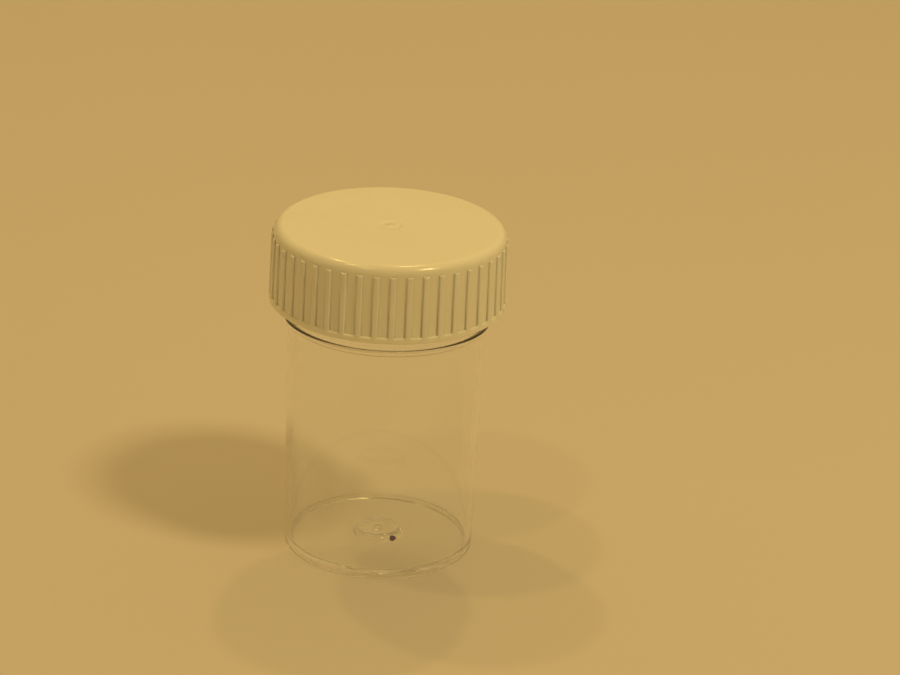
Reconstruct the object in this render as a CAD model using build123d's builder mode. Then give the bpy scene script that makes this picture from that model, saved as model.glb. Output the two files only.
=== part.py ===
from build123d import *

import os
from math import isclose, radians, tan

# Specimen bottle with a screw cap, in millimetres, +Z up. Three pieces come apart on a
# bench: a clear moulded bottle, a ribbed screw cap, and the foam liner that seals the cap
# to the bottle's rim. The origin is the middle of the foot, on the surface it stands on.

# Bottle
bottle_height = 63.8  # foot to rim
neck_radius = 19.25  # outside of the wall above the bead, where the thread's root is
body_draft = 1.03  # degrees by which the body narrows towards the foot
wall = 1.2  # at the foot and at the rim
foot_height = 0.9  # how far the floor stands above the table
foot_width = 1.5  # of the ring that touches the table, with its two fillets
foot_outer_round = 0.5
foot_inner_round = 0.3
floor_thickness = 0.8
floor_corner = 0.5  # fillet inside, where the floor meets the wall
rim_round = 0.35

# Boss in the middle of the floor, hollow underneath, with the stub of the moulding gate
boss_radius = 4.7
boss_rise = 1.3
boss_slope = 0.7  # width of the boss's sloping side
boss_round = 0.4
gate_radius = 0.8
gate_height = 0.6

# Bead below the cap
bead_height = 1.2
bead_gap = 2.7  # top of the bead to the cap's open end
bead_depth = 0.6
bead_round = 0.25

# Screw thread, single start, right-handed
thread_pitch = 4.0
thread_depth = 0.95  # of the bottle's ridge
thread_root_width = 2.2
thread_crest_width = 1.0
thread_round = 0.25  # crest corners
bottle_ridge_drop = 2.6  # rim to the middle of the bottle ridge's upper end
bottle_ridge_lift = 4.2  # cap's open end to the middle of the bottle ridge's lower end
cap_ridge_drop = 4.5  # the same two for the ridge inside the cap
cap_ridge_lift = 2.3
thread_embed = 0.3  # how far a ridge reaches into the wall that carries it
flank_gap = 0.25  # between the two ridges' loaded flanks, along the axis
crest_clearance = 0.35  # cap ridge to the bottle's neck
bore_clearance = 0.6  # bottle ridge to the cap's bore

# Liner
liner_thickness = 1.0
liner_clearance = 0.2  # to the cap's bore

# Cap
cap_height = 15.0
cap_top_thickness = 1.2
cap_wall = 1.55  # between the ribs, at the open end
cap_draft = 1.0  # degrees by which the outside narrows towards the top
cap_top_round = 1.9
mouth_chamfer = 0.4
band_height = 1.2  # plain ring at the open end, as proud as the ribs
rib_count = 45
rib_depth = 0.4
rib_width = 1.05
rib_angle = 2.4 - 90  # degrees, where the first rib stands
rib_top_drop = 1.9  # cap top to the ribs' upper ends
rib_embed = 0.6  # how far a rib reaches into the wall
rib_end_round = 0.3
retainer_depth = 0.45  # ring inside the cap that keeps the liner in
retainer_height = 0.8
retainer_gap = 0.1  # under the liner
top_stub_radius = 0.45  # gate stub in the middle of the cap, in a shallow dimple
dimple_radius = 2.4
dimple_depth = 0.12

# Worked out from the sizes above
liner_top_z = bottle_height + liner_thickness
cap_top_z = liner_top_z + cap_top_thickness
cap_bottom_z = cap_top_z - cap_height
bead_top_z = cap_bottom_z - bead_gap
bead_z = bead_top_z - bead_height
bead_radius = neck_radius + bead_depth
foot_radius = neck_radius - bead_z * tan(radians(body_draft))
floor_z = foot_height + floor_thickness
boss_top_radius = boss_radius - boss_slope
ridge_radius = neck_radius + thread_depth
bore_radius = ridge_radius + bore_clearance
cap_crest_radius = neck_radius + crest_clearance
liner_radius = bore_radius - liner_clearance
panel_radius = bore_radius + cap_wall
rib_radius = panel_radius + rib_depth
band_z = cap_bottom_z + band_height
rib_top_z = cap_top_z - rib_top_drop
retainer_top_z = bottle_height - retainer_gap
retainer_radius = bore_radius - retainer_depth


def drafted(radius, height):
    # radius of the cap's outside at a height, from its radius at the open end
    return radius - (height - cap_bottom_z) * tan(radians(cap_draft))


def ring(builder, radius, height):
    # the circular edge of that radius at that height
    circles = builder.edges().filter_by(GeomType.CIRCLE)
    return circles.filter_by(
        lambda edge: isclose(edge.radius, radius, abs_tol=1e-4)
        and isclose(edge.arc_center.Z, height, abs_tol=1e-4)
    )


def half_width(depth, full_depth):
    # half of a ridge's width, at a depth below its crest
    slope = (thread_root_width - thread_crest_width) / 2 / full_depth
    return thread_crest_width / 2 + slope * depth


def thread_ridge(root_radius, crest_radius, length):
    # one helical ridge of that length along Z, whose middle starts on the X axis at height 0
    rise = crest_radius - root_radius
    embed = thread_embed if rise > 0 else -thread_embed
    buried = half_width(abs(rise) + thread_embed, abs(rise))
    with BuildPart() as ridge:
        with BuildLine() as path:
            Helix(thread_pitch, length, root_radius)
        with BuildSketch(Plane(path.line @ 0, x_dir=(1, 0, 0), z_dir=path.line % 0)):
            with BuildLine():
                Polyline(
                    (-embed, -buried),
                    (rise, -thread_crest_width / 2),
                    (rise, thread_crest_width / 2),
                    (-embed, buried),
                    close=True,
                )
            section = make_face()
            crest_corners = section.vertices().sort_by(Axis.X, reverse=rise > 0)[:2]
            fillet(crest_corners, thread_round)
        sweep(path=path.line, is_frenet=True)
    return ridge.part


# The cap's ridge runs under the bottle's, loaded flank to loaded flank. Their widths are
# compared at the cap ridge's crest, where they add up to the most.
bottle_ridge_z = cap_bottom_z + bottle_ridge_lift
cap_ridge_z = cap_bottom_z + cap_ridge_lift
crest_overlap = ridge_radius - cap_crest_radius
cap_ridge_depth = bore_radius - cap_crest_radius
ridge_spacing = (
    half_width(crest_overlap, thread_depth) + half_width(0, cap_ridge_depth) + flank_gap
)
cap_ridge_turn = 360 * (cap_ridge_z + ridge_spacing - bottle_ridge_z) / thread_pitch

bottle_ridge_length = bottle_height - bottle_ridge_drop - bottle_ridge_z
bottle_ridge = thread_ridge(neck_radius, ridge_radius, bottle_ridge_length)
cap_ridge_length = bottle_height - cap_ridge_drop - cap_ridge_z
cap_ridge = thread_ridge(bore_radius, cap_crest_radius, cap_ridge_length)


# Bottle: one clear moulding
with BuildPart() as bottle:
    with BuildSketch(Plane.XZ):
        with BuildLine():
            Polyline(
                (0, foot_height + boss_rise),
                (boss_top_radius, foot_height + boss_rise),
                (boss_radius, foot_height),
                (foot_radius - foot_width, foot_height),
                (foot_radius - foot_width, 0),
                (foot_radius, 0),
                (neck_radius, bead_z),
                (bead_radius, bead_z),
                (bead_radius, bead_top_z),
                (neck_radius, bead_top_z),
                (neck_radius, bottle_height),
                (neck_radius - wall, bottle_height),
                (foot_radius - wall, floor_z),
                (boss_radius, floor_z),
                (boss_top_radius, floor_z + boss_rise),
                (0, floor_z + boss_rise),
                close=True,
            )
        make_face()
    revolve(axis=Axis.Z)
    fillet(ring(bottle, foot_radius, 0), foot_outer_round)
    fillet(ring(bottle, foot_radius - foot_width, 0), foot_inner_round)
    fillet(ring(bottle, foot_radius - wall, floor_z), floor_corner)
    fillet(ring(bottle, boss_top_radius, floor_z + boss_rise), boss_round)
    fillet(ring(bottle, boss_radius, floor_z), boss_round)
    fillet(ring(bottle, bead_radius, bead_z), bead_round)
    fillet(ring(bottle, bead_radius, bead_top_z), bead_round)
    fillet(ring(bottle, neck_radius, bottle_height), rim_round)
    fillet(ring(bottle, neck_radius - wall, bottle_height), rim_round)
    with BuildSketch(Plane.XY.offset(foot_height + boss_rise)):
        Circle(gate_radius)
    extrude(amount=-gate_height)
    with Locations((0, 0, bottle_ridge_z)):
        add(bottle_ridge)

bottle.part.label = "bottle"


# One grip rib on the X side of the cap, leaning in with the draft
with BuildPart() as rib_blank:
    with BuildSketch(Plane.XZ) as rib_side:
        with BuildLine():
            Polyline(
                (drafted(panel_radius, band_z) - rib_embed, band_z - rib_embed),
                (drafted(rib_radius, band_z) - rib_depth / 4, band_z - rib_embed),
                (drafted(rib_radius, rib_top_z), rib_top_z),
                (drafted(panel_radius, rib_top_z) - rib_embed, rib_top_z),
                close=True,
            )
        make_face()
        fillet(rib_side.vertices().group_by(Axis.Y)[-1].sort_by(Axis.X)[-1], rib_end_round)
    extrude(amount=rib_width / 2, both=True)
rib = rib_blank.part


# Screw cap: one opaque moulding, ribbed for grip
with BuildPart() as screw_cap:
    with BuildSketch(Plane.XZ):
        with BuildLine():
            Polyline(
                (0, cap_top_z),
                (drafted(panel_radius, cap_top_z), cap_top_z),
                (drafted(panel_radius, band_z), band_z),
                (drafted(rib_radius, band_z), band_z),
                (rib_radius, cap_bottom_z),
                (bore_radius, cap_bottom_z),
                (bore_radius, retainer_top_z - retainer_height),
                (retainer_radius, retainer_top_z - retainer_height / 2),
                (retainer_radius, retainer_top_z),
                (bore_radius, retainer_top_z),
                (bore_radius, liner_top_z),
                (0, liner_top_z),
                close=True,
            )
        make_face()
    revolve(axis=Axis.Z)
    fillet(ring(screw_cap, drafted(panel_radius, cap_top_z), cap_top_z), cap_top_round)
    chamfer(ring(screw_cap, bore_radius, cap_bottom_z), mouth_chamfer)

    with PolarLocations(0, rib_count, start_angle=rib_angle):
        add(rib)

    with BuildSketch(Plane.XY.offset(cap_top_z)):
        Circle(dimple_radius)
        Circle(top_stub_radius, mode=Mode.SUBTRACT)
    extrude(amount=-dimple_depth, mode=Mode.SUBTRACT)
    with Locations((0, 0, cap_ridge_z)):
        add(cap_ridge, rotation=(0, 0, cap_ridge_turn))

screw_cap.part.label = "screw_cap"


# Liner: a disc of closed-cell foam between the cap and the rim
with BuildPart() as cap_liner:
    with BuildSketch(Plane.XY.offset(bottle_height)):
        Circle(liner_radius)
    extrude(amount=liner_thickness)

cap_liner.part.label = "cap_liner"


os.makedirs("parts", exist_ok=True)
for piece in (bottle.part, screw_cap.part, cap_liner.part):
    export_step(piece, f"parts/{piece.label}.step")
    print(piece.label, round(piece.volume), "mm3,", piece.bounding_box())
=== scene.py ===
from math import atan2, copysign, cos, isclose, pi, radians, sin, sqrt, tan

import bmesh
import bpy
from mathutils import Matrix, Vector


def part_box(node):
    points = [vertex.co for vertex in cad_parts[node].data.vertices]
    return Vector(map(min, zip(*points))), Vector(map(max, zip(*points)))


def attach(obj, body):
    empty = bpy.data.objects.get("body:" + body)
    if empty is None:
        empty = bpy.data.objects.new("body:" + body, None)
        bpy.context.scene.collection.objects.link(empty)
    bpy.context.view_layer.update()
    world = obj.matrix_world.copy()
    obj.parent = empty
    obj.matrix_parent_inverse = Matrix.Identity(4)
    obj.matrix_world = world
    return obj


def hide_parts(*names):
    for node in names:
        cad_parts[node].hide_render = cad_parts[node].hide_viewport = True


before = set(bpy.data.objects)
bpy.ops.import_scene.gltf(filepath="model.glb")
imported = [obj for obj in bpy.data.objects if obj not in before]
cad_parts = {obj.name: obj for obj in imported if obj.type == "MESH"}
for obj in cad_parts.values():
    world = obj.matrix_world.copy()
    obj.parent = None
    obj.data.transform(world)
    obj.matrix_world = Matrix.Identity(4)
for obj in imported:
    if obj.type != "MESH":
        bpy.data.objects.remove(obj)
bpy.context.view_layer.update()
scene = bpy.context.scene
mm = 0.001
weld = 0.001 * mm
cornerAngle = radians(30)  # a sharper edge than this is a corner

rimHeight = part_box("bottle")[1][2]
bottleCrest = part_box("bottle")[1][0]  # the bottle's screw ridge
capBottom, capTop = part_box("screw_cap")[0][2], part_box("screw_cap")[1][2]
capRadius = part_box("screw_cap")[1][0]
linerBottom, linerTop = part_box("cap_liner")[0][2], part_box("cap_liner")[1][2]
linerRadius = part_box("cap_liner")[1][0]
print("frame loaded,", len(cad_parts), "pieces")


# Shader wiring. A Wire is one socket, and an expression on it adds its Math nodes.

class Wire:
    def __init__(self, paint, socket):
        self.paint = paint
        self.socket = socket

    def maths(self, operation, other):
        return self.paint.node("ShaderNodeMath", {"operation": operation}, {0: self, 1: other})

    def __add__(self, other):
        return self.maths("ADD", other)

    def __mul__(self, other):
        return self.maths("MULTIPLY", other)


class Paint:
    def __init__(self, name, tree=None):
        if tree is None:
            self.material = bpy.data.materials.new(name)
            self.material.use_nodes = True
            tree = self.material.node_tree
        self.tree = tree
        self.tree.nodes.clear()

    def node(self, kind, settings=None, sockets=None, output=0):
        made = self.tree.nodes.new(kind)
        for name, value in (settings or {}).items():
            setattr(made, name, value)
        for name, value in (sockets or {}).items():
            if isinstance(value, Wire):
                self.tree.links.new(value.socket, made.inputs[name])
            else:
                made.inputs[name].default_value = value
        return Wire(self, made.outputs[output]) if made.outputs else None

    def place(self, stretch=(1, 1, 1)):  # the point on the piece, in metres
        coords = self.node("ShaderNodeTexCoord", output="Object")
        return self.node("ShaderNodeMapping", None, {"Vector": coords, "Scale": stretch})

    def ramp(self, value, low, high, start=0.0, end=1.0):  # smooth step between two levels
        settings = {"interpolation_type": "SMOOTHSTEP", "clamp": True}
        sockets = {
            "Value": value, "From Min": low, "From Max": high, "To Min": start, "To Max": end,
        }
        return self.node("ShaderNodeMapRange", settings, sockets)

    def noise(self, scale, detail=3.0, roughness=0.5, stretch=(1, 1, 1)):
        sockets = {
            "Vector": self.place(stretch), "Scale": scale, "Detail": detail, "Roughness": roughness,
        }
        return self.node("ShaderNodeTexNoise", None, sockets)

    def blend(self, factor, first, second):
        settings = {"data_type": "RGBA", "blend_type": "MIX"}
        return self.node("ShaderNodeMix", settings, {0: factor, 6: first, 7: second}, 2)

    def bump(self, height, strength, distance):
        sockets = {"Height": height, "Strength": strength, "Distance": distance}
        return self.node("ShaderNodeBump", None, sockets)

    def finish(self, shader):
        self.node("ShaderNodeOutputMaterial", None, {"Surface": shader})
        return self.material


# Mesh helpers

def spunShell(outline, steps):
    # (radius, height) points from axis to axis, spun once round Z
    shape = bmesh.new()
    points = [shape.verts.new((radius, 0, height)) for radius, height in outline]
    for pair in zip(points, points[1:]):
        shape.edges.new(pair)
    bmesh.ops.spin(
        shape, geom=shape.verts[:] + shape.edges[:], cent=(0, 0, 0), axis=(0, 0, 1),
        dvec=(0, 0, 0), angle=2 * pi, steps=steps, use_merge=True,
    )
    bmesh.ops.remove_doubles(shape, verts=shape.verts, dist=weld)
    bmesh.ops.recalc_face_normals(shape, faces=shape.faces)
    return shape


def onRing(vertex, radius, height):
    return (
        isclose(vertex.co.xy.length, radius, abs_tol=2 * weld)
        and isclose(vertex.co.z, height, abs_tol=2 * weld)
    )


def ringEdges(shape, radius, height):
    return [edge for edge in shape.edges if all(onRing(v, radius, height) for v in edge.verts)]


def isCorner(edge):
    return len(edge.link_faces) == 2 and edge.calc_face_angle(0) > cornerAngle


def rounded(shape, edges, size, segments):
    bmesh.ops.bevel(
        shape, geom=edges, offset=size, offset_type="OFFSET", affect="EDGES", segments=segments,
        profile=0.5, material=-1, clamp_overlap=True,
    )


def turnRound(shape, angle):
    turned = Matrix.Rotation(angle, 3, "Z")
    bmesh.ops.rotate(shape, verts=shape.verts, cent=(0, 0, 0), matrix=turned)


def screwRidge(thread, root, crest, low, high, start):
    # a helical ridge from its root radius to its crest, fading out at both ends
    ridge = bmesh.new()
    side = copysign(1, crest - root)
    embed = root - side * thread["embed"]
    corners = [
        (embed, -thread["rootWidth"] / 2), (crest, -thread["crestWidth"] / 2),
        (crest, thread["crestWidth"] / 2), (embed, thread["rootWidth"] / 2),
    ]
    section = ridge.faces.new([ridge.verts.new((radius, 0, low + z)) for radius, z in corners])
    turns = (high - low) / thread["pitch"]
    bmesh.ops.spin(
        ridge, geom=section.verts[:] + section.edges[:] + [section], cent=(0, 0, 0),
        axis=(0, 0, 1), dvec=(0, 0, thread["pitch"] / thread["steps"]), angle=2 * pi * turns,
        steps=round(thread["steps"] * turns), use_merge=False, use_duplicate=False,
    )
    ends = [edge for edge in ridge.edges if edge.is_boundary]
    if ends:
        bmesh.ops.holes_fill(ridge, edges=ends)
    for vertex in ridge.verts:
        turn = atan2(vertex.co.y, vertex.co.x) / (2 * pi)
        along = turn + round((vertex.co.z - low) / thread["pitch"] - turn)
        fade = min(along, turns - along) / thread["fade"]
        fade = max(thread["leastFade"], min(1, fade))
        fade = fade * fade * (3 - 2 * fade)
        radius = embed + (vertex.co.xy.length - embed) * fade
        vertex.co.xy = vertex.co.xy.normalized() * radius
    crestEdges = [
        edge for edge in ridge.edges
        if isCorner(edge)
        and all(side * (v.co.xy.length - embed) > thread["embed"] for v in edge.verts)
    ]
    rounded(ridge, crestEdges, thread["round"], 2)
    bmesh.ops.recalc_face_normals(ridge, faces=ridge.faces)
    turnRound(ridge, start)
    return ridge


def meshFrom(shape, name):
    mesh = bpy.data.meshes.new(name)
    shape.to_mesh(mesh)
    shape.free()
    return mesh


def union(shape, added, name):
    # the two shells as one skin
    base = bpy.data.objects.new(name, meshFrom(shape, name))
    tool = bpy.data.objects.new("tool", meshFrom(added, "tool"))
    for thing in (base, tool):
        scene.collection.objects.link(thing)
    joining = base.modifiers.new("join", "BOOLEAN")
    joining.operation, joining.solver, joining.object = "UNION", "EXACT", tool
    ready = base.evaluated_get(bpy.context.evaluated_depsgraph_get())
    mesh = bpy.data.meshes.new_from_object(ready)
    for thing in (base, tool):
        bpy.data.objects.remove(thing)
    return mesh


def newPiece(name, mesh, material, body, sharp=40):
    mesh.name = name
    mesh.materials.clear()
    mesh.materials.append(material)
    mesh.shade_smooth()
    mesh.set_sharp_from_angle(angle=radians(sharp))
    piece = bpy.data.objects.new(name, mesh)
    scene.collection.objects.link(piece)
    evening = piece.modifiers.new("evenNormals", "WEIGHTED_NORMAL")
    evening.keep_sharp = True
    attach(piece, body)
    print(name, len(mesh.polygons), "faces")
    return piece


# Screw thread, shared by the bottle and the cap

thread = {
    "pitch": 4 * mm,
    "rootWidth": 2.4 * mm,  # a little wider than at the wall, because it starts inside it
    "crestWidth": 1.0 * mm,
    "embed": 0.3 * mm,
    "round": 0.22 * mm,
    "fade": 0.11,  # of a turn, at each end
    "steps": 120,  # a turn
    "leastFade": 0.04,  # keeps the very ends from closing to a line
    "depth": 0.95 * mm,  # of the bottle's ridge
    "clearance": 0.35 * mm,  # cap ridge to the bottle's neck
    "ridgeSpacing": 1.63 * mm,  # cap ridge below the bottle's
    "bottleEnds": (4.2 * mm, 2.6 * mm),  # above the cap's open end, below the rim
    "capEnds": (2.3 * mm, 4.5 * mm),
}
neckRadius = bottleCrest - thread["depth"]


def ridgeHeights(ends):  # of the ridge's middle, at its lower and upper end
    return capBottom + ends[0], rimHeight - ends[1]


bottleRidge = ridgeHeights(thread["bottleEnds"])
capRidge = ridgeHeights(thread["capEnds"])


# Bottle: clear polystyrene

bottle = {
    "wall": 1.2 * mm,
    "draft": radians(1.03),
    "beadHeight": 1.2 * mm,
    "beadGap": 2.7 * mm,  # bead to the cap's open end
    "beadDepth": 0.6 * mm,
    "beadRound": 0.56 * mm,
    "footHeight": 0.9 * mm,
    "footWidth": 1.5 * mm,
    "footRound": 0.5 * mm,
    "footInnerRound": 0.3 * mm,
    "floor": 0.8 * mm,
    "floorRound": 0.5 * mm,
    "bossRadius": 4.7 * mm,
    "bossSlope": 0.7 * mm,
    "bossRise": 1.3 * mm,
    "bossRound": 0.4 * mm,
    "gateRadius": 0.8 * mm,
    "gateHeight": 0.6 * mm,
    "gateRound": 0.15 * mm,
    "rimRound": 0.35 * mm,
    "steps": 240,
}


def bottleRadius(height):  # outside of the drafted body
    beadLow = capBottom - bottle["beadGap"] - bottle["beadHeight"]
    return neckRadius - (beadLow - height) * tan(bottle["draft"])


def clearPolystyrene():
    look = {
        "tint": (0.985, 0.99, 0.985, 1), "ior": 1.59, "gloss": 0.015,
        "shade": (0.975, 0.97, 0.96, 1),  # light left after each surface
    }
    paint = Paint("clearPolystyrene")
    cloud = paint.noise(90, 2.0)
    flow = paint.noise(160, 3.0, stretch=(1, 1, 0.1))  # faint drawn streaks up the wall
    skin = paint.node("ShaderNodeBsdfPrincipled", None, {
        "Base Color": look["tint"],
        "Roughness": cloud * 0.03 + look["gloss"],
        "IOR": look["ior"],
        "Transmission Weight": 1.0,
        "Normal": paint.bump(flow, 0.05, 0.2 * mm),
    })
    # lamps and light off the table pass straight through; everything else is bent by the plastic
    lightThrough = paint.node("ShaderNodeBsdfTransparent", None, {"Color": look["shade"]})
    for ray in ("Is Shadow Ray", "Is Diffuse Ray"):
        passing = paint.node("ShaderNodeLightPath", output=ray)
        skin = paint.node("ShaderNodeMixShader", None, {0: passing, 1: skin, 2: lightThrough})
    return paint.finish(skin)


def makeBottle():
    b = bottle
    beadTop = capBottom - b["beadGap"]
    beadLow = beadTop - b["beadHeight"]
    beadRadius = neckRadius + b["beadDepth"]
    footRadius = bottleRadius(0)
    footInner = footRadius - b["footWidth"]
    floorTop = b["footHeight"] + b["floor"]
    bossTop = b["bossRadius"] - b["bossSlope"]
    gateLow = b["footHeight"] + b["bossRise"] - b["gateHeight"]
    shape = spunShell([
        (0, gateLow),
        (b["gateRadius"], gateLow),
        (b["gateRadius"], b["footHeight"] + b["bossRise"]),
        (bossTop, b["footHeight"] + b["bossRise"]),
        (b["bossRadius"], b["footHeight"]),
        (footInner, b["footHeight"]),
        (footInner, 0),
        (footRadius, 0),
        (neckRadius, beadLow),
        (beadRadius, beadLow),
        (beadRadius, beadTop),
        (neckRadius, beadTop),
        (neckRadius, rimHeight),
        (neckRadius - b["wall"], rimHeight),
        (footRadius - b["wall"], floorTop),
        (b["bossRadius"], floorTop),
        (bossTop, floorTop + b["bossRise"]),
        (0, floorTop + b["bossRise"]),
    ], b["steps"])
    roundings = [
        (footRadius, 0, b["footRound"], 6),
        (footInner, 0, b["footInnerRound"], 4),
        (footRadius - b["wall"], floorTop, b["floorRound"], 8),
        (bossTop, floorTop + b["bossRise"], b["bossRound"], 6),
        (b["bossRadius"], floorTop, b["bossRound"], 6),
        (bossTop, b["footHeight"] + b["bossRise"], b["bossRound"], 6),
        (b["bossRadius"], b["footHeight"], b["bossRound"], 6),
        (b["gateRadius"], gateLow, b["gateRound"], 3),
        (beadRadius, beadLow, b["beadRound"], 8),
        (beadRadius, beadTop, b["beadRound"], 8),
        (neckRadius, rimHeight, b["rimRound"], 5),
        (neckRadius - b["wall"], rimHeight, b["rimRound"], 5),
    ]
    for radius, height, size, segments in roundings:
        rounded(shape, ringEdges(shape, radius, height), size, segments)
    ridge = screwRidge(thread, neckRadius, bottleCrest, *bottleRidge, 0)
    mesh = union(shape, ridge, "clear_bottle")
    piece = newPiece("clear_bottle", mesh, clearPolystyrene(), "bottle")
    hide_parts("bottle")


# Screw cap: white polypropylene

cap = {
    "ribs": 45,
    "stepsPerRib": 8,  # spin steps from one rib to the next
    "ribSteps": 3,  # of them under the rib
    "ribAngle": radians(2.4 - 90),
    "ribRound": 0.28 * mm,
    "rootRound": 0.12 * mm,
    "ribDrop": 1.9 * mm,  # cap top to the ribs' upper ends
    "wall": 1.55 * mm,
    "bore": bottleCrest + 0.6 * mm,
    "draft": radians(1),
    "band": 1.2 * mm,
    "topRound": 1.75 * mm,
    "mouthRound": 0.35 * mm,
    "edgeRound": 0.25 * mm,
    "retainerDepth": 0.45 * mm,
    "retainerHeight": 0.8 * mm,
    "retainerGap": 0.1 * mm,
    "dimpleRadius": 2.4 * mm,
    "dimpleSlope": 0.5 * mm,
    "dimpleDepth": 0.12 * mm,
    "dimpleRound": 0.2 * mm,
    "gateRadius": 0.45 * mm,
}


def whitePolypropylene():
    look = {"white": (0.93, 0.915, 0.81, 1), "cloudy": (0.91, 0.89, 0.775, 1), "roughness": 0.15}
    paint = Paint("whitePolypropylene")
    cloud = paint.ramp(paint.noise(70, 2.0), 0.3, 0.7)
    grain = paint.noise(2200, 2.0)
    ripple = paint.noise(60, 2.0, stretch=(1, 1, 0.3))
    skin = paint.node("ShaderNodeBsdfPrincipled", None, {
        "Base Color": paint.blend(cloud, look["white"], look["cloudy"]),
        "Roughness": cloud * 0.04 + grain * 0.03 + look["roughness"],
        "IOR": 1.49,
        "Subsurface Weight": 0.6,
        "Subsurface Radius": (1.0, 0.95, 0.85),
        "Subsurface Scale": 0.6 * mm,
        "Normal": paint.bump(grain * 0.02 + ripple, 0.035, 0.2 * mm),
    })
    return paint.finish(skin)


def makeCap():
    c = cap
    steps = c["ribs"] * c["stepsPerRib"]
    panelBottom = c["bore"] + c["wall"]
    lean = tan(c["draft"])
    bandTop = capBottom + c["band"]
    ribTop = capTop - c["ribDrop"]
    retainerTop = rimHeight - c["retainerGap"]

    def drafted(radius, height):
        return radius - (height - capBottom) * lean

    topRadius = drafted(panelBottom, capTop)
    ledgeRadius = drafted(capRadius, bandTop)
    dimpleFloor = capTop - c["dimpleDepth"]
    shape = spunShell([
        (0, capTop),
        (c["gateRadius"], capTop),
        (c["gateRadius"] + c["dimpleDepth"], dimpleFloor),
        (c["dimpleRadius"] - c["dimpleSlope"], dimpleFloor),
        (c["dimpleRadius"], capTop),
        (topRadius, capTop),
        (drafted(panelBottom, ribTop), ribTop),
        (drafted(panelBottom, bandTop), bandTop),
        (ledgeRadius, bandTop),
        (capRadius, capBottom),
        (c["bore"], capBottom),
        (c["bore"], retainerTop - c["retainerHeight"]),
        (c["bore"] - c["retainerDepth"], retainerTop - c["retainerHeight"] / 2),
        (c["bore"] - c["retainerDepth"], retainerTop),
        (c["bore"], retainerTop),
        (c["bore"], linerTop),
        (0, linerTop),
    ], steps)

    def underRib(face):
        centre = face.calc_center_median()
        return (atan2(centre.y, centre.x) / (2 * pi) * steps) % c["stepsPerRib"] < c["ribSteps"]

    def ribFace(face):
        heights = [v.co.z for v in face.verts]
        return (
            isclose(min(heights), bandTop, abs_tol=weld)
            and isclose(max(heights), ribTop, abs_tol=weld)
            and underRib(face)
        )

    ribFaces = [face for face in shape.faces if ribFace(face)]
    grown = bmesh.ops.extrude_face_region(shape, geom=ribFaces)["geom"]
    for vertex in [item for item in grown if isinstance(item, bmesh.types.BMVert)]:
        vertex.co.xy = vertex.co.xy.normalized() * drafted(capRadius, vertex.co.z)
    hidden = [  # left between a rib and the band below it
        face for face in shape.faces
        if all(isclose(v.co.z, bandTop, abs_tol=weld) for v in face.verts) and underRib(face)
    ]
    bmesh.ops.delete(shape, geom=hidden, context="FACES_ONLY")
    bmesh.ops.remove_doubles(shape, verts=shape.verts, dist=weld)
    bmesh.ops.recalc_face_normals(shape, faces=shape.faces)
    print("cap open edges", sum(not edge.is_manifold for edge in shape.edges))

    def onDraft(edge, radius):
        return all(
            isclose(v.co.xy.length, drafted(radius, v.co.z), abs_tol=weld) for v in edge.verts
        )

    ribEdges = [
        edge for edge in shape.edges
        if all(v.co.z > bandTop - weld for v in edge.verts)
        and onDraft(edge, capRadius)
        and isCorner(edge)
    ]
    rounded(shape, ribEdges, c["ribRound"], 3)
    # This selects nothing: the panel faces behind the ribs are still there, so every root
    # edge has three faces. They also leave the cap's skin open inside the ribs.
    roots = [
        edge for edge in shape.edges
        if all(bandTop - weld < v.co.z < ribTop + weld for v in edge.verts)
        and onDraft(edge, panelBottom)
        and abs(edge.verts[0].co.z - edge.verts[1].co.z) > c["band"]
        and isCorner(edge)
    ]
    rounded(shape, roots, c["rootRound"], 2)
    roundings = [
        (topRadius, capTop, c["topRound"], 10),
        (c["dimpleRadius"], capTop, c["dimpleRound"], 3),
        (capRadius, capBottom, c["edgeRound"], 3),
        (c["bore"], capBottom, c["mouthRound"], 3),
    ]
    for radius, height, size, segments in roundings:
        rounded(shape, ringEdges(shape, radius, height), size, segments)
    turnRound(shape, c["ribAngle"] - c["ribSteps"] / steps * pi)

    lead = (capRidge[0] + thread["ridgeSpacing"] - bottleRidge[0]) / thread["pitch"]
    crest = neckRadius + thread["clearance"]
    ridge = screwRidge(thread, c["bore"], crest, *capRidge, lead * 2 * pi)
    mesh = union(shape, ridge, "ribbed_cap")
    plastic = whitePolypropylene()
    piece = newPiece("ribbed_cap", mesh, plastic, "cap", sharp=50)
    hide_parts("screw_cap")


# Liner: closed-cell foam, with the print of the rim in its underside

liner = {
    "printDepth": 0.08 * mm,
    "printOuter": neckRadius + 0.05 * mm,
    "printInner": neckRadius - bottle["wall"] - 0.05 * mm,
    "printSlope": 0.1 * mm,
    "edgeRound": 0.15 * mm,
    "steps": 180,
}


def foam():
    look = {"pale": (0.86, 0.86, 0.84, 1), "dull": (0.78, 0.78, 0.755, 1), "cells": 2200.0}
    paint = Paint("foamLiner")
    cells = paint.node(
        "ShaderNodeTexVoronoi", None, {"Vector": paint.place(), "Scale": look["cells"]}, "Distance"
    )
    cloud = paint.noise(300, 3.0)
    skin = paint.node("ShaderNodeBsdfPrincipled", None, {
        "Base Color": paint.blend(cloud, look["pale"], look["dull"]),
        "Roughness": cloud * 0.1 + 0.6,
        "Normal": paint.bump(cells, 0.35, 0.12 * mm),
    })
    return paint.finish(skin)


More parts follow.
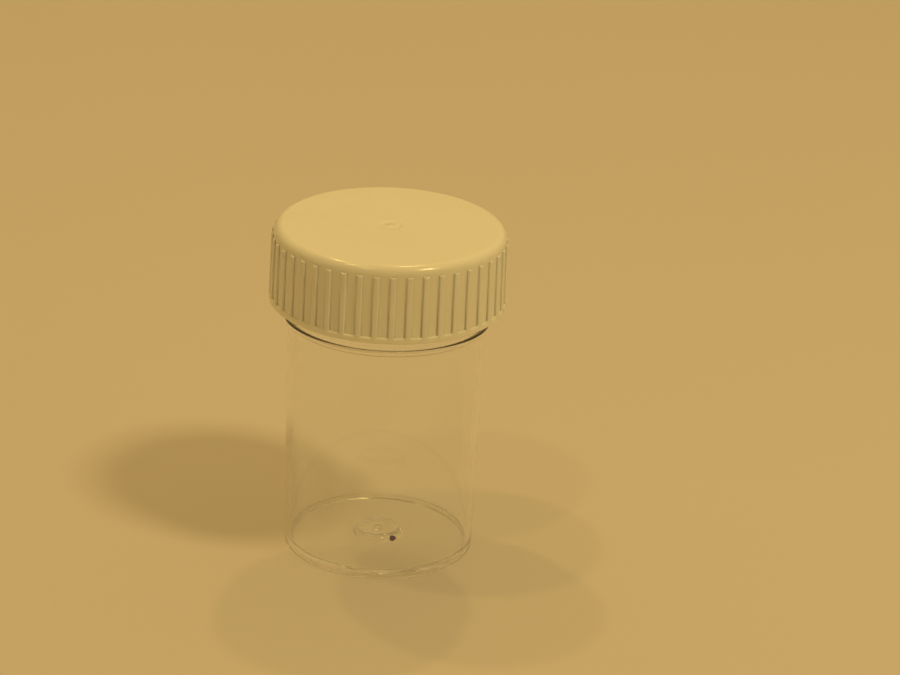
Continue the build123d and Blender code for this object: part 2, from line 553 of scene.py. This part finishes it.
def makeLiner():
    k = liner
    printTop = linerBottom + k["printDepth"]
    shape = spunShell([
        (0, linerBottom),
        (k["printInner"] - k["printSlope"], linerBottom),
        (k["printInner"], printTop),
        (k["printOuter"], printTop),
        (k["printOuter"] + k["printSlope"], linerBottom),
        (linerRadius, linerBottom),
        (linerRadius, linerTop),
        (0, linerTop),
    ], k["steps"])
    for height in (linerBottom, linerTop):
        rounded(shape, ringEdges(shape, linerRadius, height), k["edgeRound"], 3)
    piece = newPiece("foam_wad", meshFrom(shape, "foam_wad"), foam(), "liner")
    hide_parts("cap_liner")


# Ink dot: a small pen mark on the outside of the wall

inkDot = {
    "across": 2.81 * mm,
    "up": 9.1 * mm,
    "radius": 0.6 * mm,
    "gap": 0.01 * mm,  # off the wall, so that the two don't flicker
    "thickness": 0.009 * mm,
    "wobble": 0.05,  # share of the radius by which the outline wavers
    "steps": 36,
}


def ink():
    look = {"thick": (0.12, 0.08, 0.16, 1), "thin": (0.24, 0.17, 0.25, 1)}
    paint = Paint("violetInk")
    cloud = paint.noise(1800, 3.0)
    skin = paint.node("ShaderNodeBsdfPrincipled", None, {
        "Base Color": paint.blend(cloud, look["thick"], look["thin"]),
        "Roughness": cloud * 0.2 + 0.35,
        "Normal": paint.bump(cloud, 0.2, 0.05 * mm),
    })
    return paint.finish(skin)


def makeInkDot():
    d = inkDot
    shape = bmesh.new()
    bmesh.ops.create_circle(shape, cap_ends=True, segments=d["steps"], radius=d["radius"])
    back = bmesh.ops.extrude_face_region(shape, geom=shape.faces[:])["geom"]
    front = {item for item in back if isinstance(item, bmesh.types.BMVert)}
    for vertex in shape.verts:
        wobble = 1 + d["wobble"] * sin(3 * atan2(vertex.co.y, vertex.co.x) + 1)
        x = d["across"] + vertex.co.x * wobble
        z = d["up"] + vertex.co.y * wobble
        rise = d["gap"] + (d["thickness"] if vertex in front else 0)
        radius = bottleRadius(z) + rise
        vertex.co = (x, -sqrt(radius * radius - x * x), z)
    bmesh.ops.recalc_face_normals(shape, faces=shape.faces)
    newPiece("ink_dot", meshFrom(shape, "ink_dot"), ink(), "bottle")


# Table and light

def paleTable():
    look = {"pale": (0.73, 0.68, 0.62, 1), "dull": (0.69, 0.64, 0.58, 1), "roughness": 0.75}
    paint = Paint("paleTable")
    cloud = paint.noise(3, 4.0)
    fibre = paint.noise(900, 3.0, stretch=(1, 0.5, 1))
    skin = paint.node("ShaderNodeBsdfPrincipled", None, {
        "Base Color": paint.blend(cloud, look["pale"], look["dull"]),
        "Roughness": look["roughness"],
        "Normal": paint.bump(fibre, 0.08, 0.1 * mm),
    })
    return paint.finish(skin)


tableReach = 4.0  # metres each way


def makeStage():
    shape = bmesh.new()
    bmesh.ops.create_grid(shape, x_segments=2, y_segments=2, size=tableReach)
    table = bpy.data.objects.new("table", meshFrom(shape, "table"))
    table.data.materials.append(paleTable())
    scene.collection.objects.link(table)


# azimuth from +Y towards +X and elevation in degrees, distance and size in metres, watts, colour
lights = {
    "key": (125, 57, 1.3, 0.2, 4.35, (1.0, 0.76, 0.33)),
    "overFront": (11, 61, 1.7, 0.08, 2.1, (1.0, 0.67, 0.23)),
    "overLeft": (-36, 62, 1.7, 0.08, 2.0, (1.0, 0.67, 0.23)),
    "overSide": (-90, 72, 1.7, 0.08, 1.8, (1.0, 0.67, 0.23)),
    "overBack": (-146, 61, 1.7, 0.08, 1.3, (1.0, 0.67, 0.23)),
}


room = {
    "colour": (1.0, 0.67, 0.24, 1),
    "upwards": (0.365, 0.46),  # strength at the horizon and overhead
    "overhead": 0.8,  # height on the unit sphere from which it counts as overhead
    "leftToRight": (0.75, 1.05),  # shares of that strength
    "frontToBack": (0.6, 1.25),
}


def makeLights():
    middle = Vector((0, 0, 0.04))
    for name, (azimuth, elevation, distance, size, watts, colour) in lights.items():
        lamp = bpy.data.lights.new(name, "AREA")
        lamp.shape = "DISK"
        lamp.size = size
        lamp.energy = watts
        lamp.color = colour
        around, upward = radians(azimuth), radians(elevation)
        way = Vector((sin(around) * cos(upward), cos(around) * cos(upward), sin(upward)))
        holder = bpy.data.objects.new(name, lamp)
        holder.location = middle + way * distance
        holder.rotation_euler = way.to_track_quat("Z", "Y").to_euler()
        scene.collection.objects.link(holder)
    world = bpy.data.worlds.new("room")
    world.use_nodes = True
    air = Paint(None, world.node_tree)
    direction = air.node("ShaderNodeTexCoord", output="Generated")
    split = air.node("ShaderNodeSeparateXYZ", None, {0: direction})
    x, y, z = (Wire(air, split.socket.node.outputs[axis]) for axis in "XYZ")
    walls = air.ramp(z, 0.0, room["overhead"], *room["upwards"])
    walls = walls * air.ramp(x, -1, 1, *room["leftToRight"])
    walls = walls * air.ramp(y, -1, 1, *room["frontToBack"])
    glow = air.node("ShaderNodeBackground", None, {"Color": room["colour"], "Strength": walls})
    air.node("ShaderNodeOutputWorld", None, {"Surface": glow})
    scene.world = world


view = {  # metres, radians and millimetres of lens
    "back": 0.5576,
    "up": 0.2783,
    "turn": 0.022,
    "tilt": -0.3986,
    "roll": 0.05,
    "lens": 125.97,
    "sensor": 36,
    "nearest": 0.01,
}


def makeCamera():
    lens = bpy.data.cameras.new("camera")
    lens.lens = view["lens"]
    lens.sensor_width = view["sensor"]
    lens.clip_start = view["nearest"]
    camera = bpy.data.objects.new("camera", lens)
    turned = Matrix.Rotation(-view["turn"], 4, "Z") @ Matrix.Rotation(pi / 2 + view["tilt"], 4, "X")
    rolled = turned @ Matrix.Rotation(view["roll"], 4, "Z")
    camera.matrix_world = Matrix.Translation((0, -view["back"], view["up"])) @ rolled
    scene.collection.objects.link(camera)
    scene.camera = camera


makeStage()
makeLights()
makeCamera()
print("stage, lights and camera made")
makeBottle()
makeCap()
makeLiner()
makeInkDot()
scene.view_settings.view_transform = "Standard"
bounces = 32  # light runs a long way inside clear walls
for limit in ("max_bounces", "glossy_bounces", "transmission_bounces", "transparent_max_bounces"):
    setattr(scene.cycles, limit, bounces)
